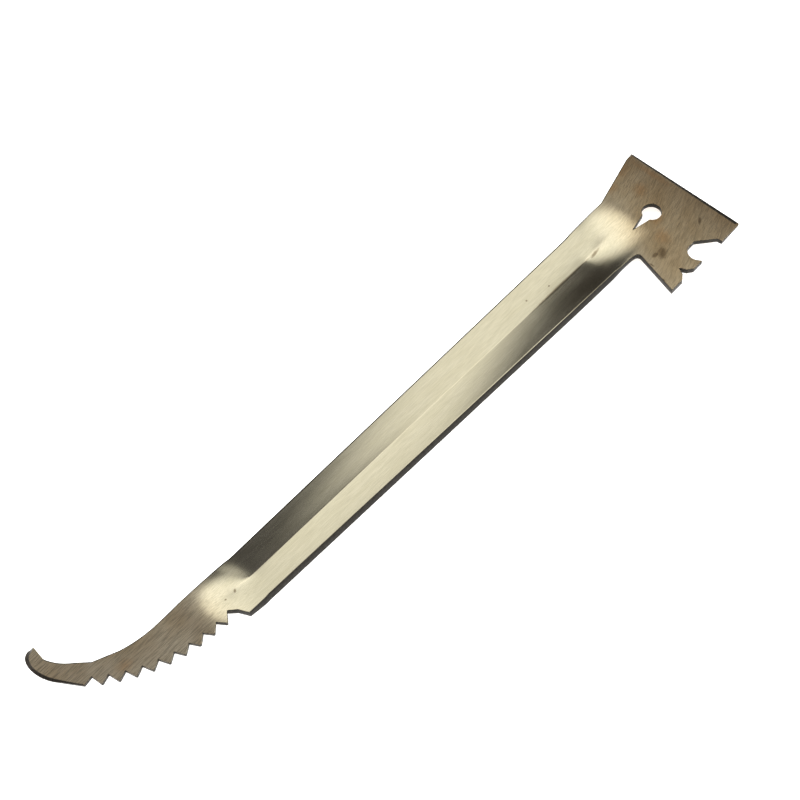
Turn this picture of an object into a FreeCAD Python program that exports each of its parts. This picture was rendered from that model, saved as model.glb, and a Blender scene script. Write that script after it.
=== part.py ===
import FreeCAD, Part
import math
import os

# A hive tool: one piece of stainless steel sheet, blanked to shape, pressed
# into a shallow V along the shank, and ground thin at both working ends.
#
# Frame: +X runs along the shank to the scraping edge, +Z is the side that the
# V opens to. X is 0 at half length, Y is 0 on the crease of the V, and Z is 0
# at the underside of the crease, which the tool lies on.

Vector = FreeCAD.Vector

document = FreeCAD.newDocument("HiveTool")
sizes = document.addObject("Spreadsheet::Sheet", "Sizes")

# Driving dimensions in millimetres and degrees.
DIMENSIONS = [
    ("half_length", 150.0),        # from the middle to the scraping edge or hook
    ("half_width", 34.3),          # from the crease to the hook's top or head's side
    ("thickness", 3.0),            # of the sheet as rolled
    ("press_depth", 3.8),          # how far the crease lies below the flat ends
    ("press_angle", 16.5),         # slope of each side of the V
    ("crease_half", 0.15),         # half the width of the crease's flat bottom
    ("head_press_start", 101.7),   # where the crease ends towards the head
    ("head_press_run", 27.9),      # length of the rise from there to the flat
    ("hook_press_start", -78.0),   # where the crease ends towards the hook
    ("hook_press_run", 22.0),      # length of that rise
    ("left_shank", 10.41),         # width left of the crease at X 0, unpressed
    ("left_taper", 0.0102),        # its growth for each millimetre of X
    ("right_shank", 12.2),         # width right of the crease at X 0, unpressed
    ("right_taper", 0.0155),       # its growth for each millimetre of X
    ("head_thin_start", 98.0),     # where the head's underside starts to thin
    ("head_thin_end", 140.0),      # where the ground bevel takes over
    ("head_thin", 2.05),           # thickness there
    ("hook_thin_start", -80.0),    # where the hook's underside starts to thin
    ("hook_thin_end", -98.0),      # where it has reached the hook's thickness
    ("hook_thin", 1.6),            # thickness of the hook and teeth
    ("flare_start", 123.1),        # where the head starts to widen
    ("flare_slope", 0.261),        # its widening for each millimetre of X
    ("bevel_top", 0.8),            # length of the small bevel on the top face
    ("bevel_drop", 0.4),           # its drop
    ("edge_blunt", 0.3),           # thickness of the scraping edge itself
    ("shoulder_x", 114.0),         # inner corner between the shank and head
    ("shoulder_foot", 108.7),      # outer corner of the undercut shoulder
    ("shoulder_fillet", 1.6),      # radius in the inner corner
    ("keyhole_x", 132.5),          # centre of the nail puller's round hole
    ("keyhole_y", -5.7),
    ("keyhole_radius", 3.8),
    ("keyhole_tip", 11.6),         # from the centre to the tip of its slot
    ("keyhole_mouth", 1.72),       # half the slot's width where it meets the hole
    ("notch_x", 129.3),            # centre of the round end of the big notch
    ("notch_y", -30.5),
    ("notch_radius", 4.0),
    ("notch_turn", 215.6),         # angle from +X at which its round end stops
    ("corner_radius", 1.0),        # of the scraping edge's right corner
    ("tooth_count", 9),
    ("tooth_pitch", 5.06),         # degrees between teeth on their arc
    ("tooth_first", -0.95),        # angle of the tooth nearest to the shank
    ("tooth_arc_x", -95.6),        # centre of the arc that the teeth lie on
    ("tooth_arc_y", 57.2),
    ("tooth_tip_radius", 65.3),
    ("tooth_root_radius", 62.4),
    ("tooth_tip_half", 0.35),      # half the length of the flat on a tooth's tip
    ("root_lag", 2.3),             # degrees from the first tip to the root after it
    ("root_lag_growth", 0.1),      # what each later tooth adds to that
    ("hook_bevel", 0.9),           # bevel ground round the outside of the hook
]

# Corners of the outline, as X and Y in millimetres. The rest of the outline is
# worked out from the dimensions above.
CORNERS = {
    "scraper_left": (150.0, 18.3),
    "flare_end": (146.2, 18.0),
    "notch_front": (138.9, -34.3),
    "notch_lip": (138.6, -32.3),
    "notch_slope": (131.9, -26.5),
    "notch_back": (126.9, -34.3),
    "nick_front": (121.8, -34.3),
    "nick_front_lip": (119.7, -32.7),
    "nick_root": (118.4, -30.1),
    "nick_back_lip": (117.1, -32.7),
    "nick_back": (114.9, -34.3),
    "step_lip": (-88.8, -6.9),
    "step_root": (-91.5, -4.6),
    "hook_heel": (-147.0, 19.0),
    "hook_far": (-150.0, 28.0),
    "hook_brow": (-149.3, 32.0),
    "hook_crown": (-146.4, 34.3),
    "hook_tip": (-144.1, 33.9),
    "beak": (-144.6, 28.0),
    "beak_bend": (-142.3, 23.5),
    "beak_root": (-138.5, 19.4),
    "throat": (-134.4, 15.3),
    "neck": (-125.6, 11.5),
    "neck_bend": (-120.5, 10.2),
}
STEP_X = -87.0                     # where the step beside the teeth leaves the shank
NECK_END_X = -112.0                # where the neck runs out into the shank
BELOW_HOOK_X = -120.0              # clear of the hook plate, inside the tooth cut


def fill_sheet():
    """Writes the driving dimensions into the sheet as plain numbers."""
    for row, (alias, value) in enumerate(DIMENSIONS, start=1):
        sizes.set("A%d" % row, alias)
        sizes.set("B%d" % row, str(value))
        sizes.setAlias("B%d" % row, alias)
    document.recompute()


fill_sheet()


def size(alias):
    """Reads one driving dimension back from the sheet."""
    return float(sizes.get(alias))


TOLERANCE = 1e-3
FLAT_TOP = size("press_depth") + size("thickness")
THROUGH = "4 * (Sizes.press_depth + Sizes.thickness)"
ANGLE = math.radians(size("press_angle"))


# ---------------------------------------------------------------- helpers

def polyline(points):
    """Straight edges through the points, in order."""
    return [Part.LineSegment(a, b) for a, b in zip(points, points[1:])]


def flat(x, y):
    return Vector(x, y, 0)


def corner(name):
    """One named corner of the outline."""
    return flat(*CORNERS[name])


def corners(*names):
    return [corner(name) for name in names]


def on_circle(centre, radius, degrees):
    """A point on a circle, its angle counted from +X."""
    turn = math.radians(degrees)
    return centre + flat(math.cos(turn), math.sin(turn)) * radius


def tangent_arc(start, heading, end):
    """An arc that leaves start along heading and stops at end, and its last
    heading. Headings are angles from +X in radians."""
    chord = end - start
    slope = math.atan2(chord.y, chord.x)
    half_turn = slope - heading
    bulge = chord.Length / 2 * math.tan(half_turn / 2)
    side = flat(math.sin(slope), -math.cos(slope))
    return Part.Arc(start, start + chord * 0.5 + side * bulge, end), slope + half_turn


def heading_of(start, end):
    return math.atan2(end.y - start.y, end.x - start.x)


def plane_of(body, role):
    """The origin plane of a body that has the given role."""
    for feature in body.Origin.OriginFeatures:
        if feature.Role == role:
            return feature
    raise ValueError("no origin plane " + role)


def padded_body(name, role, edges, length):
    """A body with one sketch, padded to both sides of an origin plane."""
    body = document.addObject("PartDesign::Body", name)
    sketch = body.newObject("Sketcher::SketchObject", name + "_sketch")
    sketch.AttachmentSupport = (plane_of(body, role), [""])
    sketch.MapMode = "FlatFace"
    sketch.addGeometry(edges, False)
    pad = body.newObject("PartDesign::Pad", name + "_pad")
    pad.Profile = sketch
    pad.Midplane = True
    pad.setExpression("Length", length)
    document.recompute()
    return body


def combined(kind, name, members):
    """A boolean of two or more shapes, kept in the document."""
    result = document.addObject(kind, name)
    if kind == "Part::MultiFuse":
        result.Shapes = members
    else:
        result.Base, result.Tool = members
    result.Refine = True
    document.recompute()
    return result


# ------------------------------------------------------- the pressed shank

def left_edge(x):
    """Width left of the crease, measured on the unpressed sheet."""
    width = size("left_shank") + size("left_taper") * x
    return width + size("flare_slope") * max(0.0, x - size("flare_start"))


def right_edge(x):
    return size("right_shank") + size("right_taper") * x


def sheet_thickness(x):
    """Full in the shank, thinning on the underside towards both ends."""
    full = size("thickness")
    head = (x - size("head_thin_start")) / (size("head_thin_end") - size("head_thin_start"))
    hook = (x - size("hook_thin_start")) / (size("hook_thin_end") - size("hook_thin_start"))
    if head > 0:
        return full + head * (size("head_thin") - full)
    if hook > 0:
        return full + min(hook, 1.0) * (size("hook_thin") - full)
    return full


def half_section(edge, rise, thick):
    """Top and bottom points of one side of the V, from the knee outwards.

    The floor of the V lies rise above the crease. It is level as far as the
    knee, where the sloping side starts."""
    slack = 0.3
    knee = min(max(rise / math.sin(ANGLE), size("crease_half")), edge - slack)
    floor = FLAT_TOP - size("press_depth") + rise
    slope = ANGLE if rise / math.sin(ANGLE) < edge - slack else 0.0
    run = edge - knee
    rim = Vector(0, knee + run * math.cos(slope), floor + run * math.sin(slope))
    rim_below = rim + Vector(0, thick * math.sin(slope), -thick * math.cos(slope))
    knee_top = Vector(0, knee, floor)
    knee_below = knee_top + Vector(0, thick * math.tan(slope / 2), -thick)
    return [knee_top, rim, rim_below, knee_below]


def section(x, rise, index):
    """One closed section across the shank, as a sketch in a plane across X."""
    thick = sheet_thickness(x)
    left = half_section(left_edge(x), rise, thick)
    right = half_section(right_edge(x), rise, thick)
    loop = left + [Vector(0, -point.y, point.z) for point in reversed(right)]
    outline = [flat(point.y, point.z) for point in loop]
    sketch = document.addObject("Sketcher::SketchObject", "section_%02d" % index)
    across = FreeCAD.Rotation(Vector(0, 1, 0), Vector(0, 0, 1), Vector(1, 0, 0), "XYZ")
    sketch.Placement = FreeCAD.Placement(Vector(x, 0, 0), across)
    sketch.addGeometry(polyline(outline + outline[:1]), False)
    return sketch


def pressed_stations():
    """Places along X and the rise of the V's floor there.

    At each end the floor rises along a quarter of an ellipse: steep where
    the crease stops, then level with the flat sheet."""
    depth = size("press_depth")
    steps = 6
    head = [(size("head_thin_start"), 0.0)]
    hook = []
    for step in range(steps + 1):
        turn = math.radians(90.0 * step / steps)
        rise = depth * math.sin(turn)
        along = 1 - math.cos(turn)
        head.append((size("head_press_start") + along * size("head_press_run"), rise))
        hook.append((size("hook_press_start") - along * size("hook_press_run"), rise))
    flare = size("flare_start")
    part_way = 1 - (flare - size("head_press_start")) / size("head_press_run")
    head.append((flare, depth * math.sqrt(1 - part_way ** 2)))
    return sorted(hook + head)


def make_shank():
    stations = pressed_stations()
    sections = [section(x, rise, index) for index, (x, rise) in enumerate(stations)]
    document.recompute()
    shank = document.addObject("Part::Loft", "pressed_shank")
    shank.Sections = sections
    shank.Solid = True
    shank.Ruled = True
    document.recompute()
    return shank


# ------------------------------------------------------------------ head

def notched_side():
    """Edges of the head's right side, from the scraping edge to the shoulder."""
    side = -size("half_width")
    foot = flat(size("shoulder_foot"), side)
    rounding = size("corner_radius")
    round_centre = flat(size("half_length") - rounding, side + rounding)
    end = round_centre + flat(rounding, 0)
    start = round_centre - flat(0, rounding)
    edges = [Part.Arc(end, on_circle(round_centre, rounding, -45), start)]

    centre = flat(size("notch_x"), size("notch_y"))
    radius = size("notch_radius")
    top_angle = 90
    last_angle = size("notch_turn")
    top = on_circle(centre, radius, top_angle)
    middle = on_circle(centre, radius, (top_angle + last_angle) / 2)
    last = on_circle(centre, radius, last_angle)
    edges += polyline([start] + corners("notch_front", "notch_lip", "notch_slope") + [top])
    edges.append(Part.Arc(top, middle, last))
    small_notch = corners("nick_front", "nick_front_lip", "nick_root", "nick_back_lip", "nick_back")
    edges += polyline([last, corner("notch_back")] + small_notch + [foot])
    return end, foot, edges


def shoulder_corner(foot):
    """The undercut shoulder, from its foot to the fillet beside the shank."""
    inner = flat(size("shoulder_x"), -right_edge(size("shoulder_x")))
    down = (foot - inner).normalize()
    opening = math.acos(-down.x)
    reach = size("shoulder_fillet") / math.tan(opening / 2)
    start = inner + down * reach
    end = inner - flat(reach, 0)
    fillet, heading = tangent_arc(start, heading_of(foot, inner), end)
    return end, polyline([foot, start]) + [fillet]


def make_head():
    """The flat head: its outline, trimmed by its side view."""
    join_x = size("head_press_start") + size("head_press_run")
    edge_x = size("half_length")
    end, foot, side_edges = notched_side()
    shank_end, shoulder_edges = shoulder_corner(foot)
    lap = 1.0
    lap_start = shank_end + flat(0, lap)
    lap_end = flat(join_x, lap_start.y)
    join_left = flat(join_x, left_edge(join_x))
    left_side = [shank_end, lap_start, lap_end, join_left] + corners("flare_end", "scraper_left")
    edges = side_edges + shoulder_edges + polyline(left_side + [end])
    outline = padded_body("head_outline", "XY_Plane", edges, THROUGH)

    level = FLAT_TOP
    bevel_x = edge_x - size("bevel_top")
    edge_z = level - size("bevel_drop")
    thin_x = size("head_thin_end")
    profile = [
        flat(bevel_x, level),
        flat(edge_x, edge_z),
        flat(edge_x, edge_z - size("edge_blunt")),
        flat(thin_x, level - sheet_thickness(thin_x)),
        flat(size("head_thin_start"), level - size("thickness")),
        flat(size("head_thin_start"), level),
    ]
    closed = polyline(profile + profile[:1])
    side_view = padded_body("head_side_view", "XZ_Plane", closed, "3 * Sizes.half_width")
    return combined("Part::Common", "head_plate", [outline, side_view])


# ------------------------------------------------------------------ hook

def tooth_point(angle, radius):
    """A point on the tooth arc. Its angle is counted from -Y, away from the shank."""
    centre = flat(size("tooth_arc_x"), size("tooth_arc_y"))
    return on_circle(centre, radius, -90 - angle)


def tooth_points():
    """Tips and roots from the shank outwards. The teeth lean more and more
    towards the shank as they go, so each root comes a little later."""
    points = []
    tip_radius = size("tooth_tip_radius")
    half_flat = math.degrees(size("tooth_tip_half") / tip_radius)
    for tooth in range(int(size("tooth_count"))):
        tip_angle = size("tooth_first") + tooth * size("tooth_pitch")
        root_angle = tip_angle + size("root_lag") + tooth * size("root_lag_growth")
        points.append(tooth_point(tip_angle - half_flat, tip_radius))
        points.append(tooth_point(tip_angle + half_flat, tip_radius))
        points.append(tooth_point(root_angle, size("tooth_root_radius")))
    last_angle = size("tooth_first") + size("tooth_count") * size("tooth_pitch")
    points.append(tooth_point(last_angle, tip_radius))
    return points


def hook_outside(last_tooth):
    """Edges round the outside of the hook, from the last tooth to the tip."""
    start = corner("hook_heel")
    edges = polyline([last_tooth, start])
    heading = heading_of(last_tooth, start)
    for bend in corners("hook_far", "hook_brow", "hook_crown"):
        edge, heading = tangent_arc(start, heading, bend)
        edges.append(edge)
        start = bend
    return edges + polyline([start, corner("hook_tip")])


def hook_inside(end):
    """Edges along the inside of the hook, from the tip to the shank."""
    edges = polyline(corners("hook_tip", "beak"))
    edges.append(Part.Arc(*corners("beak", "beak_bend", "beak_root")))
    edges += polyline(corners("beak_root", "throat", "neck"))
    edges.append(Part.Arc(corner("neck"), corner("neck_bend"), end))
    return edges


def make_hook():
    """The flat hook plate, without its teeth."""
    join_x = size("hook_press_start") - size("hook_press_run")
    end = flat(NECK_END_X, left_edge(NECK_END_X))
    join_left = flat(join_x, left_edge(join_x))
    join_right = flat(join_x, -right_edge(join_x))
    below = flat(BELOW_HOOK_X, -right_edge(join_x))
    last_tooth = tooth_points()[-1]
    outside = hook_outside(last_tooth)
    edges = outside + hook_inside(end)
    edges += polyline([end, join_left, join_right, below, last_tooth])
    body = document.addObject("PartDesign::Body", "hook_plate")
    sketch = body.newObject("Sketcher::SketchObject", "hook_sketch")
    sketch.AttachmentSupport = (plane_of(body, "XY_Plane"), [""])
    sketch.MapMode = "FlatFace"
    sketch.setExpression("AttachmentOffset.Base.z", "Sizes.press_depth + Sizes.thickness")
    sketch.addGeometry(edges, False)
    pad = body.newObject("PartDesign::Pad", "hook_pad")
    pad.Profile = sketch
    pad.Reversed = True
    pad.setExpression("Length", "Sizes.hook_thin")
    document.recompute()
    ground = body.newObject("PartDesign::Chamfer", "hook_bevel")
    ground.Base = (pad, outside_edges(pad.Shape, outside[1:]))
    ground.setExpression("Size", "Sizes.hook_bevel")
    document.recompute()
    return body


def outside_edges(shape, curves):
    """Names of the top edges that follow the given curves."""
    names = []
    for number, edge in enumerate(shape.Edges, start=1):
        middle = edge.valueAt((edge.FirstParameter + edge.LastParameter) / 2)
        if abs(middle.z - FLAT_TOP) > TOLERANCE:
            continue
        for curve in curves:
            parameter = (curve.FirstParameter + curve.LastParameter) / 2
            if (curve.value(parameter) - flat(middle.x, middle.y)).Length < TOLERANCE:
                names.append("Edge%d" % number)
    return names


def make_tooth_cut():
    """Everything outside the line of teeth and the step beside the shank."""
    step = flat(STEP_X, -right_edge(STEP_X))
    past_the_edge = step - flat(0, size("thickness"))
    points = [past_the_edge, step] + corners("step_lip", "step_root") + tooth_points()
    points.append(flat(points[-1].x, past_the_edge.y))
    return padded_body("tooth_cut", "XY_Plane", polyline(points + points[:1]), THROUGH)


# --------------------------------------------------------------- cut-outs

def make_keyhole():
    """The nail puller: a round hole with a slot that narrows to a point."""
    centre = flat(size("keyhole_x"), size("keyhole_y"))
    radius = size("keyhole_radius")
    mouth = size("keyhole_mouth")
    back = math.sqrt(radius ** 2 - mouth ** 2)
    upper = centre + flat(-back, mouth)
    lower = centre + flat(-back, -mouth)
    point = centre - flat(size("keyhole_tip"), 0)
    edges = polyline([lower, point, upper])
    edges.append(Part.Arc(upper, centre + flat(radius, 0), lower))
    return padded_body("keyhole", "XY_Plane", edges, THROUGH)


# --------------------------------------------------------------- assembly

def check_document():
    """Stops if any object of the document failed to compute."""
    for item in document.Objects:
        if "Invalid" in item.State or "Error" in item.State:
            raise RuntimeError("failed: " + item.Name)


def export(part):
    """Writes one sub-part to a STEP file named after its label."""
    shape = part.Shape
    if shape.isNull() or not shape.isValid():
        raise RuntimeError("bad shape: " + part.Label)
    box = shape.BoundBox
    print("%s: solids %d, volume %.0f mm3, box %.2f x %.2f x %.2f" % (
        part.Label, len(shape.Solids), shape.Volume, box.XLength, box.YLength, box.ZLength))
    print("x %.2f..%.2f  y %.2f..%.2f  z %.2f..%.2f" % (
        box.XMin, box.XMax, box.YMin, box.YMax, box.ZMin, box.ZMax))
    shape.exportStep(os.path.join("parts", part.Label + ".step"))


sheet = combined("Part::MultiFuse", "pressed_sheet", [make_shank(), make_head(), make_hook()])
toothed = combined("Part::Cut", "toothed_sheet", [sheet, make_tooth_cut()])
tool = combined("Part::Cut", "tool", [toothed, make_keyhole()])
tool.Label = "hive_tool"
document.recompute()
check_document()

os.makedirs("parts", exist_ok=True)
export(tool)
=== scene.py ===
import math

import bpy
import numpy as np
from mathutils import Matrix, Vector
from mathutils.geometry import delaunay_2d_cdt


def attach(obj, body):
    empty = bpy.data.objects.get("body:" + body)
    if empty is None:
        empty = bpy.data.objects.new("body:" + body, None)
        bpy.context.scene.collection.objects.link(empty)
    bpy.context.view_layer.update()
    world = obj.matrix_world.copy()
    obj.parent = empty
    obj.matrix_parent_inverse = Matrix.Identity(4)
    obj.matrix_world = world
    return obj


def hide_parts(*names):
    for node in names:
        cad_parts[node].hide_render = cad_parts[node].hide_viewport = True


# A hive tool: one piece of pressed stainless sheet. The CAD solid is replaced
# by a finer mesh of the same piece, with its folds, arrises and ground bevels.
# Lengths in this script are in millimetres, and MM turns them into metres where
# they go into a mesh, a material, a light or the camera.

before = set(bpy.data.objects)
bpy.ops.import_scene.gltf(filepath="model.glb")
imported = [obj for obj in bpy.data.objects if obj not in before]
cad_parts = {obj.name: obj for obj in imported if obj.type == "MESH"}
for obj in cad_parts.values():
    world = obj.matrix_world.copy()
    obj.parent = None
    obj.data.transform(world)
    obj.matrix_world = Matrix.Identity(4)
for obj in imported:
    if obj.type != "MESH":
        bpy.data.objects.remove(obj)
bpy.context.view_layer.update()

MM = 0.001

# The design's sizes, as in the CAD part. Only hook_far differs: it lies 0.02 mm
# further in, to keep the mesh inside the CAD part's box.
HALF_LENGTH = 150.0
HALF_WIDTH = 34.3
THICKNESS = 3.0
PRESS_DEPTH = 3.8
PRESS_ANGLE = math.radians(16.5)
HEAD_PRESS_START = 101.7
HEAD_PRESS_RUN = 27.9
HOOK_PRESS_START = -78.0
HOOK_PRESS_RUN = 22.0
HEAD_THIN_START = 98.0
HEAD_THIN_END = 140.0
HEAD_THIN = 2.05
HOOK_THIN_START = -80.0
HOOK_THIN_END = -98.0
HOOK_THIN = 1.6
FLARE_START = 123.1
FLARE_SLOPE = 0.261
SCRAPER_DROP = 0.4
SCRAPER_BLUNT = 0.3
SHOULDER = (114.0, 108.7)
SHOULDER_FILLET = 1.6
KEYHOLE = Vector((132.5, -5.7))
KEYHOLE_RADIUS = 3.8
KEYHOLE_TIP = 11.6
KEYHOLE_MOUTH = 1.72       # half the slot's width where it meets the hole
NOTCH = Vector((129.3, -30.5))
NOTCH_RADIUS = 4.0
NOTCH_TURN = 215.6
CORNER_RADIUS = 1.0
TOOTH_COUNT = 9
TOOTH_PITCH = 5.06
TOOTH_FIRST = -0.95
TOOTH_ARC = Vector((-95.6, 57.2))
TOOTH_TIP_RADIUS = 65.3
TOOTH_ROOT_RADIUS = 62.4
TOOTH_TIP_HALF = 0.35
TOOTH_TIP_FLAT = 0.4       # share of the tip that is left flat
TOOTH_TIP_FALL = 0.12      # how far its corners fall back
ROOT_LAG = 2.3
ROOT_LAG_GROWTH = 0.1
STEP_X = -87.0
NECK_END_X = -112.0
LEFT_WIDTH = 10.41         # of the unpressed sheet at X = 0, from the crease
LEFT_TAPER = 0.0102
RIGHT_WIDTH = 12.2
RIGHT_TAPER = 0.0155

CORNERS = {
    "scraper_left": (150.0, 18.3),
    "flare_end": (146.2, 18.0),
    "notch_front": (138.9, -34.3),
    "notch_lip": (138.6, -32.3),
    "notch_slope": (131.9, -26.5),
    "notch_back": (126.9, -34.3),
    "nick_front": (121.8, -34.3),
    "nick_front_lip": (119.7, -32.7),
    "nick_root": (118.4, -30.1),
    "nick_back_lip": (117.1, -32.7),
    "nick_back": (114.9, -34.3),
    "step_lip": (-88.8, -6.9),
    "step_root": (-91.5, -4.6),
    "hook_heel": (-147.0, 19.0),
    "hook_far": (-149.98, 28.0),
    "hook_brow": (-149.3, 32.0),
    "hook_crown": (-146.4, 34.3),
    "hook_tip": (-144.1, 33.9),
    "beak": (-144.6, 28.0),
    "beak_bend": (-142.3, 23.5),
    "beak_root": (-138.5, 19.4),
    "throat": (-134.4, 15.3),
    "neck": (-125.6, 11.5),
    "neck_bend": (-120.5, 10.2),
}

# The upper face's shape. The V's sides are slightly curved here and its ends
# open out softly, where the CAD part has flat sides and a rising floor.
WALL_SLOPE = 0.225         # slope of the V's sides beside the crease
WALL_CURVE = 0.0053        # how much steeper they get towards the rims
CREASE_SOFT = 0.04         # rounding of the crease, as a height
HEAD_RAMP_START = 98.5     # where the V starts to open out towards the head
HEAD_RAMP_END = 126.0
HOOK_RAMP_START = 75.0     # the same towards the hook, on the -X side
HOOK_RAMP_END = 101.0
CREASE_FADE = 3.0          # how much the crease softens as the V opens out
RIM_TOP = 4.0              # highest the V's sides come above the crease
RIM_SOFT = 0.25            # rounding where they reach that
SETTLE_START = 100.0       # between these, that height falls to the flat ends'
SETTLE_END = 106.0
SLOPE_GAP = 0.1            # half the distance over which slopes are measured

# The edges' finish.
ARRIS = 0.28               # rounding of the cut edges' upper corners
BACK_ARRIS = 0.42          # the same on the long edge on the hook's side
FINE_ARRIS = 0.18          # the same on the teeth, the hook's tip and the keyhole
UNDER_ARRIS = 0.12         # rounding of the lower corners
SCRAPER_BEVEL = 1.0        # width of the ground edge at its left end
SCRAPER_BEVEL_GAIN = 0.6   # how much wider it is at its right end
HOOK_BEVEL = 0.3           # width of the hook's bevel at the last tooth
HOOK_BEVEL_GAINS = [(0.7, 0, 18), (0.8, 18, 26)]    # gain, and between which distances
HOOK_BEVEL_LOSS = 0.9      # how much narrower it gets round the crown
HOOK_LOSS_ALONG = (-146.4, -144.1)
HOOK_LOSS_ACROSS = (26, 31)
HOOK_BEVEL_FALL = 0.9      # its drop for each millimetre of width
HOOK_BEVEL_DEPTH = 1.05    # and the most that it drops
BEVEL_SHARES = [(1, 0), (2 / 3, 1 / 3), (1 / 3, 2 / 3), (0, 1)]    # inset and drop
ARRIS_TURNS = (0, 30, 60, 90)
INWARD_LEAST = 0.4         # keeps insets short at sharp corners

# The mesh's spacing.
EDGE_STEP = 1.0            # along most of the outline
TOOTH_STEP = 0.8
SHORT_STEP = 0.7           # on short straight edges
ARC_STEP = 0.5
CORNER_STEP = 0.3
STATION_STEP = 1.5         # along the shank
FINE_GRID = 0.6            # where the V runs out
COARSE_GRID = 1.7          # on the flat ends
HEAD_REACH = (-16.1, 14.5)    # how far the fine grids reach across
HOOK_REACH = (-12.1, 11)
FLAT_HEAD_REACH = (-HALF_WIDTH, 19)    # and the coarse ones
SHOULDER_REACH = (-HALF_WIDTH, -16.3)
FLAT_HOOK_REACH = (-12, HALF_WIDTH)
MARGIN = 0.3               # clear strip between the outline's ring and the inner points
NEARBY = 3.0               # an edge is compared only with points this close to it
MERGE_DISTANCE = 1e-5
ROW_OFFSETS = [0.12, 0.3, 0.55, 0.9, 1.5, 2.4, 3.5, 4.8, 6.2, 7.7, 9.2, 10.7, 12.2, 13.1]
SMOOTH_ANGLE = math.radians(38)    # sharper folds than this keep an edge

# The materials: places in millimetres, colours as linear red, green and blue.
FACE, CUT, GROUND = 0, 1, 2    # their numbers on the mesh
LAST_CORNER_LEVEL = 1          # the edge's bands, counted down from the upper face
LAST_BEVEL_LEVEL = 2
LAST_CUT_LEVEL = 4
SHANK_LINES = (3200, 16)       # grain: lines per metre, and how far they are drawn out
HEAD_LINES = (5200, 17)
HEAD_GRAIN = 18.0              # degrees that the head's grain is turned from the shank's
HEAD_ZONE = ((1, -0.45), 111, 131)    # where the head's finish fades in: direction, start, end
HOOK_ZONE = ((-1, 0), 84, 108)
SCRAPER_ZONE = ((1, 0.15), 128, 152)
STEEL_COLOURS = [(0.3, (0.60, 0.57, 0.49)), (0.7, (0.65, 0.62, 0.545))]    # noise, colour
STREAKS = [(0.3, 0.88), (0.7, 1.0)]    # how far the grain darkens the steel
SCORES = [(0.38, 0.74), (0.54, 1.03)]  # and how much further at the ends
BLOTCHES = [(0.35, (0.80, 0.70, 0.58)), (0.65, (1.0, 0.97, 0.93))]
HEAD_TINT = (1.0, 0.91, 0.79)
HEAD_TINT_STRENGTH = 0.8
SCRAPER_TINT = (0.72, 0.68, 0.66)
SCRAPER_TINT_STRENGTH = 0.9
SATIN = [(0.3, 0.14), (0.7, 0.17)]     # roughness of the shank
ENDS_ROUGHNESS = 0.24
# the cut edges' colour: dark scale, darkened further as painted shade
CUT_SCALE_AND_SHADE_COLOURS = [(0.3, (0.014, 0.012, 0.010)), (0.7, (0.04, 0.037, 0.032))]
CUT_ROUGHNESS = [(0.3, 0.45), (0.7, 0.6)]
BEVEL_COLOURS = [(0.3, (0.03, 0.026, 0.022)), (0.7, (0.07, 0.062, 0.052))]
BEVEL_ROUGHNESS = 0.4
GRAIN_BUMP = 0.02
GRAIN_HEIGHT = 0.00002         # in metres
HEAT_TINT = (0.95, 0.66, 0.42)
HEAT_STRENGTH = 0.45
HEAT_SPOTS = [                 # where heat has coloured the steel: centre, radii, turn
    ((140.4, 16.4), (6.0, 5.0), 20),
    ((137.8, 4.3), (5.5, 4.0), 40),
    ((131.4, 13.0), (4.5, 3.0), 0),
    ((131.0, -9.5), (5.0, 3.0), 10),
    ((126.0, -16.0), (6.0, 5.0), 60),
    ((147.0, 6.0), (2.0, 14.0), 0),
    ((-126.7, 13.8), (4.5, 3.5), 20),
    ((-128.0, 6.0), (4.0, 3.0), 0),
]
SMUDGE_AND_SHADE_TINT = (0.30, 0.25, 0.20)
SMUDGE_AND_SHADE_STRENGTH = 0.75
SMUDGES_AND_SHADE_SPOTS = [                    # stains, scratches and dots, with painted shade along the crease and in a dimple on the hook: centre, radii, turn
    ((119.8, -20.9), (3.8, 2.6), 30),
    ((117.2, -19.6), (2.0, 1.2), 0),
    ((141.0, -22.0), (2.4, 0.7), 36),
    ((112.8, -21.5), (0.5, 1.6), 0),
    ((110.3, -29.0), (0.5, 0.9), 0),
    ((104.8, -0.8), (3.2, 0.9), 8),
    # painted shade in a dimple on the hook
    ((-84.4, -0.5), (1.2, 0.6), 50),
    ((-89.0, -1.0), (0.6, 0.4), 0),
    ((70.9, 4.2), (0.6, 0.5), 0),
    ((81.8, 2.5), (0.6, 0.45), 0),
    # painted shade along the crease
    ((86.0, -0.3), (22.0, 0.9), 0),
]
SHADE_PATCH_CENTRE = (92.0, -9.0)     # painted shade: the V's side is darkened where it meets the head
SHADE_PATCH_RADII = (30.0, 9.0)
SHADE_PATCH_TINT = (0.34, 0.31, 0.27)
SHADE_PATCH_STRENGTH = 0.7
SPOT_RAGGEDNESS = 700          # of the spots' rims: lumps per metre

# The studio, with lengths in millimetres.
FLOOR_SIDE = 12000
FLOOR_WHITE = 0.88
FLOOR_GLOW = 0.5               # the paper's own light, which keeps it white
PAPER_LIGHT = 2.2              # the world's strength on the floor
SURROUND_COLOUR = (1.0, 0.9, 0.75)
SURROUND_DIM = 0.05            # the world's strength in reflections
SURROUND_HIGH = 0.34           # the same high up on the +Y side
HORIZON_GAIN = 0.5             # and what is added to it near the horizon
LIGHT_COLOUR = (0.97, 0.942, 0.765)
LIGHT_RADIANCE = 1.4
LIGHT_SPAN = (0, 760)          # along X, for both lights
OVERHEAD_SPAN = (-60, 1250)    # along Y
OVERHEAD_HEIGHT = 606
WINDOW_SPAN = (-330, 0)
WINDOW_HEIGHT = 600
CAMERA_LENS = 72
CAMERA_SENSOR = 36
CAMERA_PLACE = Vector((-195.2, -213.4, 496.35))
CAMERA_RIGHT = Vector((0.6852, -0.7269, -0.0468))
CAMERA_UP = Vector((0.6379, 0.5677, 0.5204))
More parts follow.
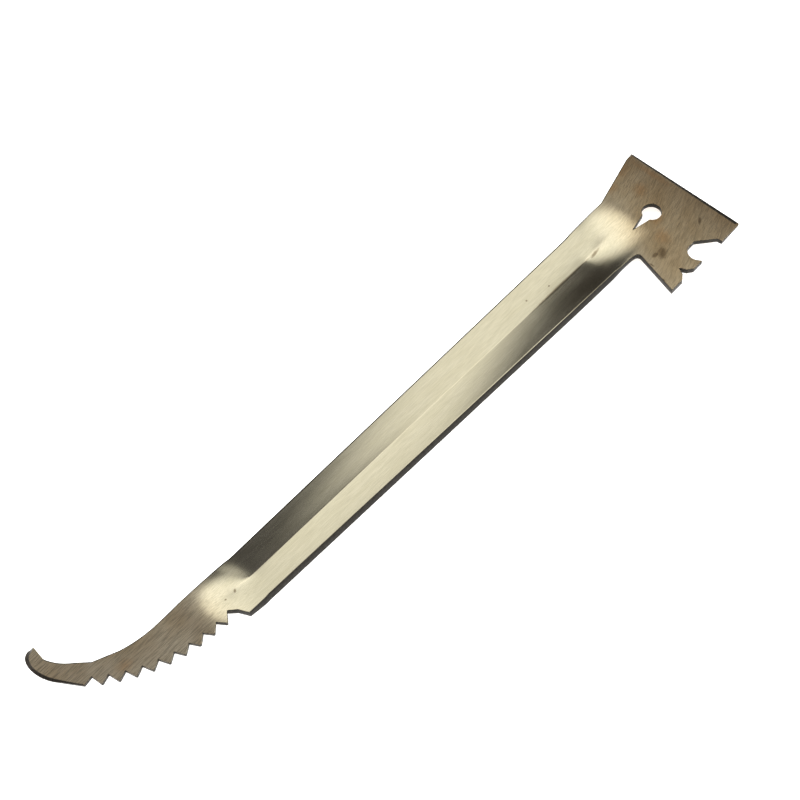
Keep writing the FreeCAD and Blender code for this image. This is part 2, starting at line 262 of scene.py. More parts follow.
CAMERA_BACK = Vector((-0.3517, -0.3864, 0.8526))


# ---------------------------------------------------------- plan outline

def corner(name):
    return Vector(CORNERS[name])


def on_circle(centre, radius, degrees):
    turn = math.radians(degrees)
    return centre + Vector((math.cos(turn), math.sin(turn))) * radius


def straight(start, end, step=EDGE_STEP):
    """Evenly spaced points from start up to, but not including, end."""
    count = max(1, round((end - start).length / step))
    return [start.lerp(end, index / count) for index in range(count)]


def arc(start, middle, end, step=ARC_STEP):
    """Points on the circle through three points, without the last."""
    a = middle - start
    b = end - start
    cross = 2 * (a.x * b.y - a.y * b.x)
    toward = Vector((b.y * a.length_squared - a.y * b.length_squared,
                     a.x * b.length_squared - b.x * a.length_squared)) / cross
    centre = start + toward
    radius = toward.length
    first = math.atan2(-toward.y, -toward.x)
    sweep = math.atan2((end - centre).y, (end - centre).x) - first
    turning_left = cross > 0
    sweep = sweep % math.tau if turning_left else -((-sweep) % math.tau)
    count = max(2, round(abs(sweep) * radius / step))
    return [on_circle(centre, radius, math.degrees(first + sweep * index / count))
            for index in range(count)]


def tangent_arc(start, heading, end):
    """Points of the arc that leaves start along heading, and its last heading."""
    chord = end - start
    slope = math.atan2(chord.y, chord.x)
    half_turn = slope - heading
    bulge = chord.length / 2 * math.tan(half_turn / 2)
    side = Vector((math.sin(slope), -math.cos(slope)))
    return arc(start, start + chord * 0.5 + side * bulge, end), slope + half_turn


def heading_of(start, end):
    return math.atan2(end.y - start.y, end.x - start.x)


def left_width(x):
    """Width left of the crease on the unpressed sheet."""
    return LEFT_WIDTH + LEFT_TAPER * x + FLARE_SLOPE * max(0.0, x - FLARE_START)


def right_width(x):
    return RIGHT_WIDTH + RIGHT_TAPER * x


def pressed(width, x):
    """How far the edge of a given width lies from the crease once pressed."""
    knee = design_rise(x) / math.sin(PRESS_ANGLE)
    return knee + (width - knee) * math.cos(PRESS_ANGLE) if knee < width else width


def shank_edge(start_x, end_x, side, width):
    """Points along one long edge of the shank, without the last."""
    count = round(abs(end_x - start_x) / EDGE_STEP)
    stations = [start_x + (end_x - start_x) * index / count for index in range(count)]
    return [Vector((x, side * pressed(width(x), x))) for x in stations]


def tooth_point(angle, radius):
    return on_circle(TOOTH_ARC, radius, -90 - angle)


def tooth_line():
    """Corners of the teeth, from the hook inwards, without the step's root."""
    rows = [tooth_point(TOOTH_FIRST + TOOTH_COUNT * TOOTH_PITCH, TOOTH_TIP_RADIUS)]
    half_flat = math.degrees(TOOTH_TIP_HALF / TOOTH_TIP_RADIUS)
    for tooth in reversed(range(TOOTH_COUNT)):
        tip = TOOTH_FIRST + tooth * TOOTH_PITCH
        rows.append(tooth_point(tip + ROOT_LAG + tooth * ROOT_LAG_GROWTH, TOOTH_ROOT_RADIUS))
        rows.append(tooth_point(tip + half_flat, TOOTH_TIP_RADIUS - TOOTH_TIP_FALL))
        rows.append(tooth_point(tip + TOOTH_TIP_FLAT * half_flat, TOOTH_TIP_RADIUS))
        rows.append(tooth_point(tip - TOOTH_TIP_FLAT * half_flat, TOOTH_TIP_RADIUS))
        rows.append(tooth_point(tip - half_flat, TOOTH_TIP_RADIUS - TOOTH_TIP_FALL))
    return rows


def through(points, step=EDGE_STEP):
    """Spaced points along straight runs between corners, without the last."""
    found = []
    for start, end in zip(points, points[1:]):
        found += straight(start, end, step)
    return found


def shoulder_points():
    """From the shank's right edge round the fillet to the shoulder's foot."""
    inner = Vector((SHOULDER[0], -right_width(SHOULDER[0])))
    foot = Vector((SHOULDER[1], -HALF_WIDTH))
    down = (foot - inner).normalized()
    reach = SHOULDER_FILLET / math.tan(math.acos(-down.x) / 2)
    start = inner - Vector((reach, 0))
    fillet, _ = tangent_arc(start, 0.0, inner + down * reach)
    return start, fillet + straight(inner + down * reach, foot), foot


def labelled(points, kind):
    return [(point, kind) for point in points]


def left_side():
    """From the scraper's left end along the shank and inside the hook."""
    flare_start = Vector((FLARE_START, left_width(FLARE_START)))
    neck_end = Vector((NECK_END_X, left_width(NECK_END_X)))
    points = straight(corner("scraper_left"), corner("flare_end"))
    points += straight(corner("flare_end"), flare_start)
    points += shank_edge(FLARE_START, NECK_END_X, 1, left_width)
    points += arc(neck_end, corner("neck_bend"), corner("neck"))
    points += through([corner("neck"), corner("throat"), corner("beak_root")])
    points += arc(corner("beak_root"), corner("beak_bend"), corner("beak"))
    return points


def toothed_side():
    """From the last tooth along the row and the step to the shank's corner."""
    step = [corner("step_root"), corner("step_lip")]
    shank_corner = Vector((STEP_X, -pressed(right_width(STEP_X), STEP_X)))
    return through(tooth_line() + step + [shank_corner], TOOTH_STEP)


def notched_side(foot):
    """From the shoulder's foot along the nick and the round notch to the
    scraper's rounded corner. Gives the points and where they end."""
    nick = [corner(name) for name in (
        "nick_back", "nick_back_lip", "nick_root", "nick_front_lip", "nick_front", "notch_back",
    )]
    low = on_circle(NOTCH, NOTCH_RADIUS, NOTCH_TURN)
    middle = on_circle(NOTCH, NOTCH_RADIUS, (90 + NOTCH_TURN) / 2)
    top = on_circle(NOTCH, NOTCH_RADIUS, 90)
    slope = [corner(name) for name in ("notch_slope", "notch_lip", "notch_front")]
    round_centre = Vector((HALF_LENGTH - CORNER_RADIUS, CORNER_RADIUS - HALF_WIDTH))
    start = round_centre - Vector((0, CORNER_RADIUS))
    end = round_centre + Vector((CORNER_RADIUS, 0))
    points = through([foot] + nick, TOOTH_STEP)
    points += straight(corner("notch_back"), low)
    points += arc(low, middle, top)
    points += through([top] + slope + [start])
    points += arc(start, on_circle(round_centre, CORNER_RADIUS, -45), end, CORNER_STEP)
    return points, end


def outline():
    """The outer outline, anticlockwise from above, as points and their kind."""
    shoulder_start, shoulder, foot = shoulder_points()
    notched, scraper_right = notched_side(foot)
    loop = labelled(left_side(), "back")
    loop += labelled(straight(corner("beak"), corner("hook_tip"), ARC_STEP), "fine")
    loop += labelled(hook_back(), "hook")
    loop += labelled(toothed_side(), "fine")
    loop += labelled(shank_edge(STEP_X, shoulder_start.x, -1, right_width), "side")
    loop += labelled(shoulder, "side")
    loop += labelled(notched, "side")
    loop += labelled(straight(scraper_right, corner("scraper_left")), "scraper")
    return loop


def hook_back():
    """Points round the outside of the hook, from its tip to the last tooth."""
    last_tooth = tooth_line()[0]
    start = corner("hook_heel")
    points = straight(last_tooth, start, SHORT_STEP)
    heading = heading_of(last_tooth, start)
    for name in ("hook_far", "hook_brow", "hook_crown"):
        bend, heading = tangent_arc(start, heading, corner(name))
        points += bend
        start = corner(name)
    points += straight(start, corner("hook_tip"), ARC_STEP) + [corner("hook_tip")]
    return list(reversed(points))[:-1]


def keyhole():
    """The nail puller's outline, clockwise so that the steel is on its left."""
    back = math.sqrt(KEYHOLE_RADIUS ** 2 - KEYHOLE_MOUTH ** 2)
    upper = KEYHOLE + Vector((-back, KEYHOLE_MOUTH))
    lower = KEYHOLE + Vector((-back, -KEYHOLE_MOUTH))
    far = KEYHOLE + Vector((KEYHOLE_RADIUS, 0))
    point = KEYHOLE - Vector((KEYHOLE_TIP, 0))
    points = arc(upper, far, lower)
    points += straight(lower, point, SHORT_STEP)
    points += straight(point, upper, SHORT_STEP)
    return labelled(points, "hole")


# ------------------------------------------------------ pressed surface

def smooth_step(value, low, high):
    """0 up to low and 1 from high, easing between them."""
    share = min(max((value - low) / (high - low), 0.0), 1.0)
    return share * share * (3 - 2 * share)


def soft_max(a, b, soft):
    """The larger of two values, with the change from one to the other rounded."""
    overlap = max(soft - abs(a - b), 0.0)
    return max(a, b) + overlap * overlap / (4 * soft)


def press_share(x):
    """0 in the shank, growing to 1 where the sheet is flat again."""
    if x > HEAD_PRESS_START:
        return min((x - HEAD_PRESS_START) / HEAD_PRESS_RUN, 1.0)
    if x < HOOK_PRESS_START:
        return min((HOOK_PRESS_START - x) / HOOK_PRESS_RUN, 1.0)
    return 0.0


def design_rise(x):
    """Height of the V's floor over the crease in the CAD part."""
    return PRESS_DEPTH * math.sqrt(1 - (1 - press_share(x)) ** 2)


def flat_share(x):
    """How far the V has opened out: 0 in the shank, 1 on the flat ends."""
    if x > 0:
        return smooth_step(x, HEAD_RAMP_START, HEAD_RAMP_END)
    return smooth_step(-x, HOOK_RAMP_START, HOOK_RAMP_END)


def top_z(x, y):
    """Height of the upper face over the table."""
    reach = abs(y)
    share = flat_share(x)
    wall = WALL_SLOPE * reach + WALL_CURVE * reach * reach
    wall = soft_max(wall, 0.0, CREASE_SOFT + CREASE_FADE * share)
    plate = RIM_TOP + (PRESS_DEPTH - RIM_TOP) * smooth_step(abs(x), SETTLE_START, SETTLE_END)
    wall = min(-soft_max(-wall, -plate, RIM_SOFT), plate)
    return THICKNESS + wall + share * (plate - wall)


def normal_at(x, y):
    """The way square to the upper face."""
    across = (top_z(x, y + SLOPE_GAP) - top_z(x, y - SLOPE_GAP)) / (2 * SLOPE_GAP)
    along = (top_z(x + SLOPE_GAP, y) - top_z(x - SLOPE_GAP, y)) / (2 * SLOPE_GAP)
    return Vector((-along, -across, 1)).normalized()


def sheet_thickness(x):
    if x > HEAD_THIN_END:
        edge = SCRAPER_DROP + SCRAPER_BLUNT
        return HEAD_THIN + (edge - HEAD_THIN) * (x - HEAD_THIN_END) / (HALF_LENGTH - HEAD_THIN_END)
    if x > HEAD_THIN_START:
        share = (x - HEAD_THIN_START) / (HEAD_THIN_END - HEAD_THIN_START)
        return THICKNESS + share * (HEAD_THIN - THICKNESS)
    if x < HOOK_THIN_START:
        share = min((HOOK_THIN_START - x) / (HOOK_THIN_START - HOOK_THIN_END), 1.0)
        return THICKNESS + share * (HOOK_THIN - THICKNESS)
    return THICKNESS


def surface_point(place, drop=0.0):
    """The point drop below the upper face, square to the sheet."""
    top = Vector((place.x, place.y, top_z(place.x, place.y)))
    return top - normal_at(place.x, place.y) * drop


# ----------------------------------------------------------- sheet mesh

def hook_bevel(place):
    """Width of the bevel round the hook, which grows from the last tooth on
    and narrows again round the crown."""
    along = (place - tooth_line()[0]).length
    width = HOOK_BEVEL
    for gain, start, end in HOOK_BEVEL_GAINS:
        width += gain * smooth_step(along, start, end)
    over_crown = smooth_step(place.x, *HOOK_LOSS_ALONG)
    return width - HOOK_BEVEL_LOSS * over_crown * smooth_step(place.y, *HOOK_LOSS_ACROSS)


def bevel_size(place, kind):
    """Width and drop of what is taken off the upper corner of an edge."""
    if kind == "scraper":
        left = corner("scraper_left").y
        share = (left - place.y) / (left + HALF_WIDTH)
        return SCRAPER_BEVEL + SCRAPER_BEVEL_GAIN * share, SCRAPER_DROP
    if kind == "hook":
        width = hook_bevel(place)
        return width, min(HOOK_BEVEL_FALL * width, HOOK_BEVEL_DEPTH)
    rounding = {"fine": FINE_ARRIS, "hole": FINE_ARRIS, "back": BACK_ARRIS, "side": ARRIS}[kind]
    return rounding, rounding


def edge_profile(place, kind):
    """Steps down a cut edge, as inset from the outline and drop below the face."""
    width, drop = bevel_size(place, kind)
    thick = sheet_thickness(place.x)
    shares = BEVEL_SHARES
    if kind not in ("scraper", "hook"):
        turns = [math.radians(degrees) for degrees in ARRIS_TURNS]
        shares = [(1 - math.sin(turn), 1 - math.cos(turn)) for turn in turns]
    steps = [(width * inset, drop * fall) for inset, fall in shares]
    steps.append((0, thick - UNDER_ARRIS))
    steps.append((0.3 * UNDER_ARRIS, thick - 0.3 * UNDER_ARRIS))
    steps.append((UNDER_ARRIS, thick))
    steps.append((width, thick))
    return steps


def edge_finish(kind, level):
    """Which material a face of the edge takes. The upper corner looks like the face, but on the
    long edge on the hook's side it takes the cut's dark colour as painted shade."""
    if level > LAST_CUT_LEVEL:
        return FACE
    # painted shade: the hook's side's long edge is dark up to the face
    if kind == "back":
        return CUT
    if kind in ("scraper", "hook"):
        return GROUND if level <= LAST_BEVEL_LEVEL else CUT
    return FACE if level <= LAST_CORNER_LEVEL else CUT


def inward(points):
    """For each point of a loop, the direction into the steel that keeps both
    neighbouring edges' distance."""
    directions = []
    for index, place in enumerate(points):
        before = (place - points[index - 1]).normalized()
        after = (points[(index + 1) % len(points)] - place).normalized()
        first = Vector((-before.y, before.x))
        second = Vector((-after.y, after.x))
        directions.append((first + second) / max(1 + first.dot(second), INWARD_LEAST))
    return directions


def inside(places, loop):
    """Which of the places lie inside a closed loop."""
    xs, ys = places.T
    result = np.zeros(len(places), bool)
    for start, end in zip(loop, np.roll(loop, -1, axis=0)):
        crosses = (start[1] > ys) != (end[1] > ys)
        if crosses.any():
            at = (end[0] - start[0]) * (ys - start[1]) / (end[1] - start[1] + 1e-12) + start[0]
            result ^= crosses & (xs < at)
    return result


def in_steel(places, borders):
    """Which of the places lie inside the outer border and not in the keyhole."""
    outer, hole = borders
    return inside(places, outer) & ~inside(places, hole)


def clear_of(places, loop):
    """Which of the places keep the margin from a loop's edges."""
    xs, ys = places.T
    result = np.ones(len(places), bool)
    for start, end in zip(loop, np.roll(loop, -1, axis=0)):
        run = end - start
        near = (np.abs(xs - start[0]) < NEARBY) & (np.abs(ys - start[1]) < NEARBY)
        if not near.any():
            continue
        right = xs[near] - start[0]
        up = ys[near] - start[1]
        share = np.clip((right * run[0] + up * run[1]) / (run @ run), 0, 1)
        result[near] &= np.hypot(right - share * run[0], up - share * run[1]) > MARGIN
    return result


def crossings(xs, ys):
    """Every place whose X and Y are taken from the two lists."""
    along, across = np.meshgrid(xs, ys)
    return np.column_stack([along.ravel(), across.ravel()])


def grid(x_range, y_range, step):
    return crossings(np.arange(*x_range, step), np.arange(*y_range, step))


def inner_points():
    """Points inside the outline: rows along the shank that crowd at the crease,
    and grids at the flat ends and, finer, where the V runs out."""
    rows = sorted([0.0] + ROW_OFFSETS + [-offset for offset in ROW_OFFSETS])
    stations = np.arange(HOOK_PRESS_START + 1, HEAD_PRESS_START - 1, STATION_STEP)
    head_end = HEAD_PRESS_START + HEAD_PRESS_RUN + 1
    hook_end = HOOK_PRESS_START - HOOK_PRESS_RUN - 1
    return np.vstack([
        crossings(stations, rows),
        grid((HEAD_PRESS_START - 1, head_end), HEAD_REACH, FINE_GRID),
        grid((hook_end, HOOK_PRESS_START + 1), HOOK_REACH, FINE_GRID),
        grid((head_end, HALF_LENGTH), FLAT_HEAD_REACH, COARSE_GRID),
        grid((SHOULDER[1], head_end), SHOULDER_REACH, COARSE_GRID),
        grid((-HALF_LENGTH, hook_end), FLAT_HOOK_REACH, COARSE_GRID),
    ])


def border_points(loop):
    """The upper face's border: the outline, moved in by the edge's rounding."""
    ways = inward([place for place, _ in loop])
    return [place + way * bevel_size(place, kind)[0] for (place, kind), way in zip(loop, ways)]


def fill_face(rings):
    """Triangulates the upper face in plan. Gives its points, of which the
    borders' come first, its triangles and the borders' edges."""
    places = [place for ring in rings for place in ring]
    edges = []
    start = 0
    for ring in rings:
        count = len(ring)
        edges += [(start + index, start + (index + 1) % count) for index in range(count)]
        start += count
    borders = [np.array([tuple(place) for place in ring]) for ring in rings]
    inner = inner_points()
    kept = in_steel(inner, borders) & clear_of(inner, borders[0]) & clear_of(inner, borders[1])
    places += [Vector(place) for place in inner[kept]]

    flat = delaunay_2d_cdt(places, edges, [], 0, MERGE_DISTANCE)
    found, triangles = flat[0], flat[2]
    if len(found) != len(places):
        raise RuntimeError("the outline crosses itself")
    centres = [sum((found[index] for index in triangle), Vector((0, 0))) / 3
               for triangle in triangles]
    solid = in_steel(np.array([tuple(centre) for centre in centres]), borders)
    return found, [tuple(triangle) for triangle, real in zip(triangles, solid) if real], edges


def add_edge(loop, start, below, vertices, faces, finishes):
    """Joins the upper face to the lower one round one loop."""
    points = [place for place, _ in loop]
    ways = inward(points)
    profiles = [edge_profile(place, kind) for place, kind in loop]
    rings = [[start + index for index in range(len(loop))]]
    for level in range(1, len(profiles[0]) - 1):
        ring = []
        for place, way, profile in zip(points, ways, profiles):
            inset, drop = profile[level]
            ring.append(len(vertices))
            vertices.append(surface_point(place + way * inset, drop))
        rings.append(ring)
    rings.append([below + index for index in rings[0]])
    for level, (upper, lower) in enumerate(zip(rings, rings[1:])):
        for index in range(len(loop)):
            after = (index + 1) % len(loop)
            faces.append((upper[index], lower[index], lower[after], upper[after]))
            finishes.append(edge_finish(loop[index][1], level))


def build_sheet():
    """The sheet's vertices, its faces, the material number of each face, and
    the edges round its upper and lower faces."""
    loops = [outline(), keyhole()]
    places, triangles, border = fill_face([border_points(loop) for loop in loops])
    below = len(places)
    vertices = [surface_point(place) for place in places]
    vertices += [surface_point(place, sheet_thickness(place.x)) for place in places]
    faces = list(triangles)
    faces += [tuple(below + index for index in reversed(triangle)) for triangle in triangles]
    finishes = [FACE] * len(faces)
    start = 0
    for loop in loops:
        add_edge(loop, start, below, vertices, faces, finishes)
        start += len(loop)
    rims = border + [(below + first, below + second) for first, second in border]
    return vertices, faces, finishes, rims


def mark_sharp(mesh, pairs):
    """Keeps the faces' shading apart from their arrises'."""
    wanted = {tuple(sorted(pair)) for pair in pairs}
    sharp = mesh.attributes.get("sharp_edge")
    if sharp is None:
        sharp = mesh.attributes.new("sharp_edge", "BOOLEAN", "EDGE")
    for edge in mesh.edges:
        if tuple(sorted(edge.vertices)) in wanted:
            sharp.data[edge.index].value = True


# ---------------------------------------------------------- shader nodes

def connect(source, target, entry):
    """Feeds a node's input from a (node, output) pair or with a constant. All
    the sources in the functions below are one of the two."""
    if isinstance(source, tuple) and hasattr(source[0], "outputs"):
        made, output = source
        made.id_data.links.new(made.outputs[output], target.inputs[entry])
    else:
        target.inputs[entry].default_value = source


def maths(tree, operation, *values):
    made = tree.nodes.new("ShaderNodeMath")
    made.operation = operation
    for entry, value in enumerate(values):
        connect(value, made, entry)
    return made, "Value"


def spread(tree, source, start, end, shape="LINEAR"):
    """0 where the source is at start and 1 where it is at end."""
    made = tree.nodes.new("ShaderNodeMapRange")
    made.interpolation_type = shape
    connect(source, made, "Value")
    made.inputs["From Min"].default_value = start
    made.inputs["From Max"].default_value = end
    return made, "Result"


def ramp(tree, source, stops, shape="LINEAR"):
    """A colour ramp. A stop is a place and a colour, or a shade of grey."""
    made = tree.nodes.new("ShaderNodeValToRGB")
    made.color_ramp.interpolation = shape
    elements = made.color_ramp.elements
    while len(elements) < len(stops):
        elements.new(0.5)
    for element, (place, colour) in zip(elements, stops):
        element.position = place
        shade = colour if isinstance(colour, tuple) else (colour, colour, colour)
        element.color = (*shade, 1)
    connect(source, made, "Fac")
    return made, "Color"


def mix(tree, kind, factor, first, second, blend="MIX"):
    """A Mix node of numbers or colours."""
    made = tree.nodes.new("ShaderNodeMix")
    made.data_type = kind
    made.blend_type = blend
    first_entry, second_entry, output = {"FLOAT": (2, 3, 0), "RGBA": (6, 7, 2)}[kind]
    connect(factor, made, 0)
    connect(first, made, first_entry)
    connect(second, made, second_entry)
    return made, output


def along_line(tree, place, direction):
    """How far a place lies along a direction in plan."""
    made = tree.nodes.new("ShaderNodeVectorMath")
    made.operation = "DOT_PRODUCT"
    connect(place, made, 0)
    made.inputs[1].default_value = (*direction, 0)
    return made, "Value"


def on_tool(tree):
    return tree.nodes.new("ShaderNodeTexCoord"), "Object"


def mapping(tree, place, turn, scale, centre=(0, 0)):
    """Places as seen from a frame that is moved, turned and scaled."""
    made = tree.nodes.new("ShaderNodeMapping")
    made.vector_type = "TEXTURE"
    made.inputs["Location"].default_value = (centre[0] * MM, centre[1] * MM, 0)
    made.inputs["Rotation"].default_value = (0, 0, math.radians(turn))
    made.inputs["Scale"].default_value = (*scale, 1)
    connect(place, made, "Vector")
    return made, "Vector"


def grain(tree, turn, frequency, stretch, detail=2.0):
    """Noise drawn out along a direction turned from +X, in lines per metre."""
    noise = tree.nodes.new("ShaderNodeTexNoise")
    noise.inputs["Scale"].default_value = frequency
    noise.inputs["Detail"].default_value = detail
    connect(mapping(tree, on_tool(tree), turn, (stretch, 1)), noise, "Vector")
    return noise, "Fac"


def zone(tree, direction, start, end):
    """0 before and 1 after a soft line over the tool: how far a point lies
    along the given direction, in millimetres, against start and end."""
    along = along_line(tree, on_tool(tree), direction)
    return spread(tree, along, start * MM, end * MM, "SMOOTHSTEP")


def spot(tree, centre, radii, turn=0.0, core=0.3, ragged=0.5):
    """1 inside and 0 outside an oval on the tool, with a ragged soft rim."""
    scale = (radii[0] * MM, radii[1] * MM)
    length = tree.nodes.new("ShaderNodeVectorMath")
    length.operation = "LENGTH"
    connect(mapping(tree, on_tool(tree), turn, scale, centre), length, 0)
    noise = grain(tree, 0, SPOT_RAGGEDNESS, 1, 3.0)
    rim = maths(tree, "MULTIPLY_ADD", noise, ragged, (length, "Value"))
    return spread(tree, rim, 1 + ragged / 2, core + ragged / 2, "SMOOTHSTEP")


def multiplied(tree, colour, factor, other):
    return mix(tree, "RGBA", factor, colour, other, "MULTIPLY")


def tinted(tree, colour, where, strength, tint):
    """The colour, with a tint laid over it at the marked place."""
    return multiplied(tree, colour, maths(tree, "MULTIPLY", where, strength), (*tint, 1))


# ------------------------------------------------------------- materials

def blank_material(name):
    material = bpy.data.materials.new(name)
    material.use_nodes = True
    tree = material.node_tree
    return material, tree, tree.nodes["Principled BSDF"]


def with_marks(tree, colour):
    """The colour with painted shade where the V's side meets the head, the heat's spots, and the
    smudges, with painted shade along the crease and in a dimple on the hook.
    """
    # painted shade on the V's side near the head
    shade_patch = spot(tree, SHADE_PATCH_CENTRE, SHADE_PATCH_RADII, core=0.1, ragged=0.05)
    colour = tinted(tree, colour, shade_patch, SHADE_PATCH_STRENGTH, SHADE_PATCH_TINT)
    for centre, radii, turn in HEAT_SPOTS:
        heated = spot(tree, centre, radii, turn, core=0.0, ragged=0.8)
        colour = tinted(tree, colour, heated, HEAT_STRENGTH, HEAT_TINT)
    # stains, with painted shade along the crease and in the hook's dimple
    for centre, radii, turn in SMUDGES_AND_SHADE_SPOTS:
        smudged_or_shaded = spot(tree, centre, radii, turn)
        colour = tinted(tree, colour, smudged_or_shaded, SMUDGE_AND_SHADE_STRENGTH, SMUDGE_AND_SHADE_TINT)
    return colour


def steel_colour(tree, fine, broad, at_head, at_ends):
    """Bright steel in the shank, and darker, warmer and more scored at the ends."""
    cloud = grain(tree, 30, 60, 1.6, 4.0)
    colour = ramp(tree, broad, STEEL_COLOURS)
    colour = multiplied(tree, colour, 1.0, ramp(tree, fine, STREAKS))
    colour = multiplied(tree, colour, at_ends, ramp(tree, cloud, BLOTCHES))
    colour = multiplied(tree, colour, at_ends, ramp(tree, fine, SCORES))
    colour = tinted(tree, colour, at_head, HEAD_TINT_STRENGTH, HEAD_TINT)
    at_scraper = zone(tree, *SCRAPER_ZONE)
    colour = tinted(tree, colour, at_scraper, SCRAPER_TINT_STRENGTH, SCRAPER_TINT)
    return with_marks(tree, colour)


def steel_face():
    """Brushed stainless: fine grain that turns at the head, the marks of heat and handling, and
    painted shade on the V's side near the head, along the crease and in a dimple on the hook."""
    material, tree, shader = blank_material("brushed_steel")
    shader.inputs["Metallic"].default_value = 1.0
    at_head = zone(tree, *HEAD_ZONE)
    at_ends = mix(tree, "FLOAT", zone(tree, *HOOK_ZONE), at_head, 1.0)
    shank_grain = grain(tree, 0, *SHANK_LINES)
    head_grain = grain(tree, HEAD_GRAIN, *HEAD_LINES)
    fine = mix(tree, "FLOAT", at_head, shank_grain, head_grain)
    broad = grain(tree, 0, 420, 6, 3.0)
    connect(steel_colour(tree, fine, broad, at_head, at_ends), shader, "Base Color")
    rough = (ENDS_ROUGHNESS, ENDS_ROUGHNESS, ENDS_ROUGHNESS, 1)
    connect(mix(tree, "RGBA", at_ends, ramp(tree, broad, SATIN), rough), shader, "Roughness")
    bump = tree.nodes.new("ShaderNodeBump")
    bump.inputs["Strength"].default_value = GRAIN_BUMP
    bump.inputs["Distance"].default_value = GRAIN_HEIGHT
    connect(fine, bump, "Height")
    connect((bump, "Normal"), shader, "Normal")
    return material


def cut_steel_and_shade():
    """The blanked edge: torn and matt, its dark colour partly scale and partly painted shade."""
    material, tree, shader = blank_material("cut_edge_and_shade")
    shader.inputs["Metallic"].default_value = 1.0
    tear = grain(tree, 0, 900, 1, 4.0)
    # dark scale, with painted shade
    connect(ramp(tree, tear, CUT_SCALE_AND_SHADE_COLOURS), shader, "Base Color")
    connect(ramp(tree, tear, CUT_ROUGHNESS), shader, "Roughness")
    return material


def ground_steel():
    """The bevels ground at both ends."""
    material, tree, shader = blank_material("ground_bevel")
    shader.inputs["Metallic"].default_value = 1.0
    lines = grain(tree, 0, 1800, 1, 2.0)
    connect(ramp(tree, lines, BEVEL_COLOURS), shader, "Base Color")
    shader.inputs["Roughness"].default_value = BEVEL_ROUGHNESS
    return material


def floor_paper():
    """White paper that glows a little, so that the tool casts hardly a shadow."""
    material, _, shader = blank_material("floor_paper")
    shader.inputs["Base Color"].default_value = (FLOOR_WHITE, FLOOR_WHITE, FLOOR_WHITE, 1)
    shader.inputs["Roughness"].default_value = 0.9
    shader.inputs["Specular IOR Level"].default_value = 0.0
    shader.inputs["Emission Color"].default_value = (1, 1, 1, 1)
    shader.inputs["Emission Strength"].default_value = FLOOR_GLOW
    return material


# ----------------------------------------------------------------- scene

def make_tool():
    vertices, faces, finishes, rims = build_sheet()
    mesh = bpy.data.meshes.new("hive_tool_sheet")
    mesh.from_pydata([vertex * MM for vertex in vertices], [], faces)
    for material in (steel_face(), cut_steel_and_shade(), ground_steel()):
        mesh.materials.append(material)
    mesh.polygons.foreach_set("material_index", finishes)
    mesh.polygons.foreach_set("use_smooth", [True] * len(faces))
    mesh.set_sharp_from_angle(angle=SMOOTH_ANGLE)
    mark_sharp(mesh, rims)
    mesh.update()
    tool = bpy.data.objects.new("hive_tool_sheet", mesh)
    bpy.context.scene.collection.objects.link(tool)
    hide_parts("hive_tool")
    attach(tool, "root")


def make_floor():
    half = FLOOR_SIDE * MM / 2
    corners = [(-half, -half, 0), (half, -half, 0), (half, half, 0), (-half, half, 0)]
    mesh = bpy.data.meshes.new("floor")
    mesh.from_pydata(corners, [], [(0, 1, 2, 3)])
    mesh.materials.append(floor_paper())
    floor = bpy.data.objects.new("floor", mesh)
    bpy.context.scene.collection.objects.link(floor)


def make_camera():
    camera = bpy.data.cameras.new("camera")
    camera.lens = CAMERA_LENS
    camera.sensor_width = CAMERA_SENSOR
    seat = bpy.data.objects.new("camera", camera)
    bpy.context.scene.collection.objects.link(seat)
    turn = Matrix((CAMERA_RIGHT, CAMERA_UP, CAMERA_BACK)).transposed().to_4x4()
    seat.matrix_world = Matrix.Translation(CAMERA_PLACE * MM) @ turn
    bpy.context.scene.camera = seat


def faded(tree, place, direction, stops):
    """A light's strength along one line across it. A stop is a place along the
    line, in millimetres, and the strength there."""
    first = stops[0][0]
    last = stops[-1][0]
    share = spread(tree, along_line(tree, place, direction), first * MM, last * MM)
    shares = [((at - first) / (last - first), strength) for at, strength in stops]
    return ramp(tree, share, shares, "EASE")


def soft_box(name, y_range, height, fades):
    """A downward light over a rectangle of the table, in millimetres. Its fades
    are directions in plan with their stops, and they multiply."""
    light = bpy.data.lights.new(name, "AREA")
    light.use_nodes = True
    tree = light.node_tree
    place = (tree.nodes.new("ShaderNodeNewGeometry"), "Position")
    strength = 1.0
    for direction, stops in fades:
        strength = maths(tree, "MULTIPLY", strength, faded(tree, place, direction, stops))
    connect(strength, tree.nodes["Emission"], "Strength")
    light.shape = "RECTANGLE"
    light.size = (LIGHT_SPAN[1] - LIGHT_SPAN[0]) * MM
    light.size_y = (y_range[1] - y_range[0]) * MM
    light.energy = LIGHT_RADIANCE * math.pi * light.size * light.size_y
    light.color = LIGHT_COLOUR
    holder = bpy.data.objects.new(name, light)
    holder.location = Vector((sum(LIGHT_SPAN) / 2, sum(y_range) / 2, height)) * MM
    holder.visible_camera = False
    bpy.context.scene.collection.objects.link(holder)


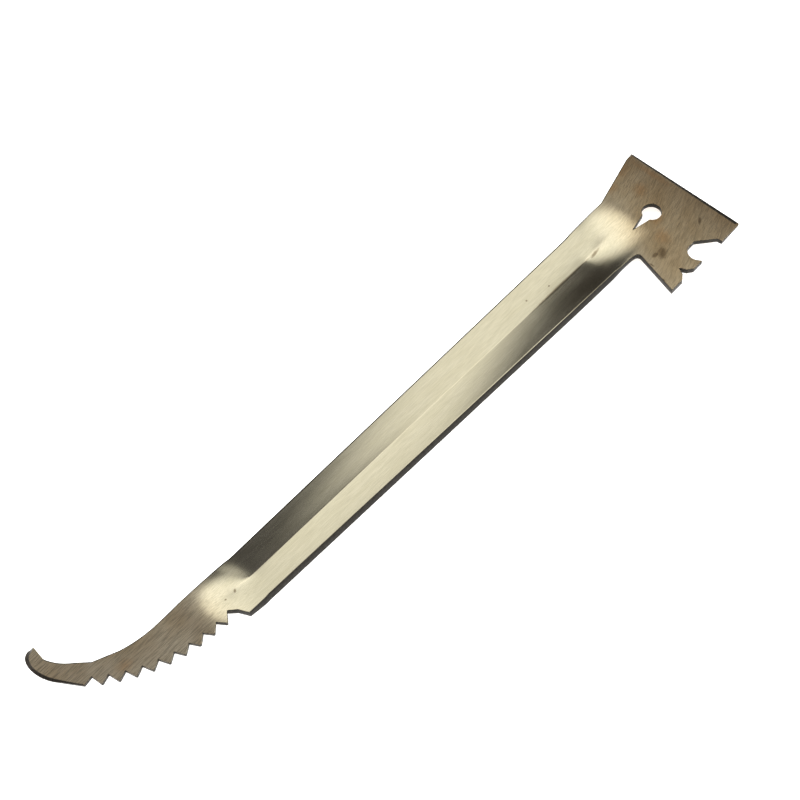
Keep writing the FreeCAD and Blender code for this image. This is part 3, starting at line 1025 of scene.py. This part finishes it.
def make_lights():
    """Two lights that overlap where both are faded. They hang at different
    heights, because a reflection counts only one of two in the same plane."""
    soft_box("overhead", OVERHEAD_SPAN, OVERHEAD_HEIGHT, [
        ((1, 0.15), [(165, 0), (245, 1)]),
        ((1, -0.134), [(325, 1), (490, 0)]),
        ((0, 1), [(-60, 0), (0, 0.9), (160, 1), (560, 1), (800, 0.85), (1100, 0.85), (1240, 0)]),
    ])
    soft_box("window", WINDOW_SPAN, WINDOW_HEIGHT, [
        ((1, 0.8), [(40, 0), (165, 1)]),
        ((1, 0), [(500, 1), (700, 0)]),
        ((0, 1), [(-320, 0), (-220, 0.88), (-60, 0.88), (0, 0)]),
    ])


def surround_strength(tree):
    """What the steel reflects beyond the lights: dim, paler high up on the +Y
    side and near the horizon."""
    split = tree.nodes.new("ShaderNodeSeparateXYZ")
    connect((tree.nodes.new("ShaderNodeTexCoord"), "Generated"), split, "Vector")
    high = ramp(tree, (split, "Z"), [(0.62, 0), (0.86, 1)], "EASE")
    beyond = ramp(tree, (split, "Y"), [(0.0, 0), (0.3, 1)], "EASE")
    low = ramp(tree, (split, "Z"), [(0.12, 1), (0.4, 0)], "EASE")
    pale = maths(tree, "MULTIPLY", high, beyond)
    strength = maths(tree, "MULTIPLY_ADD", pale, SURROUND_HIGH - SURROUND_DIM, SURROUND_DIM)
    return maths(tree, "MULTIPLY_ADD", low, HORIZON_GAIN, strength)


def make_world():
    """White all round for the paper, and dim for what the steel reflects."""
    world = bpy.data.worlds.new("studio")
    bpy.context.scene.world = world
    world.use_nodes = True
    tree = world.node_tree
    bright = tree.nodes["Background"]
    bright.inputs["Color"].default_value = (1, 1, 1, 1)
    bright.inputs["Strength"].default_value = PAPER_LIGHT
    dim = tree.nodes.new("ShaderNodeBackground")
    dim.inputs["Color"].default_value = (*SURROUND_COLOUR, 1)
    connect(surround_strength(tree), dim, "Strength")
    chosen = tree.nodes.new("ShaderNodeMixShader")
    connect((tree.nodes.new("ShaderNodeLightPath"), "Is Glossy Ray"), chosen, 0)
    connect((bright, "Background"), chosen, 1)
    connect((dim, "Background"), chosen, 2)
    connect((chosen, "Shader"), tree.nodes["World Output"], "Surface")


make_camera()
bpy.context.scene.view_settings.view_transform = "Standard"
make_world()
make_lights()
make_floor()
make_tool()
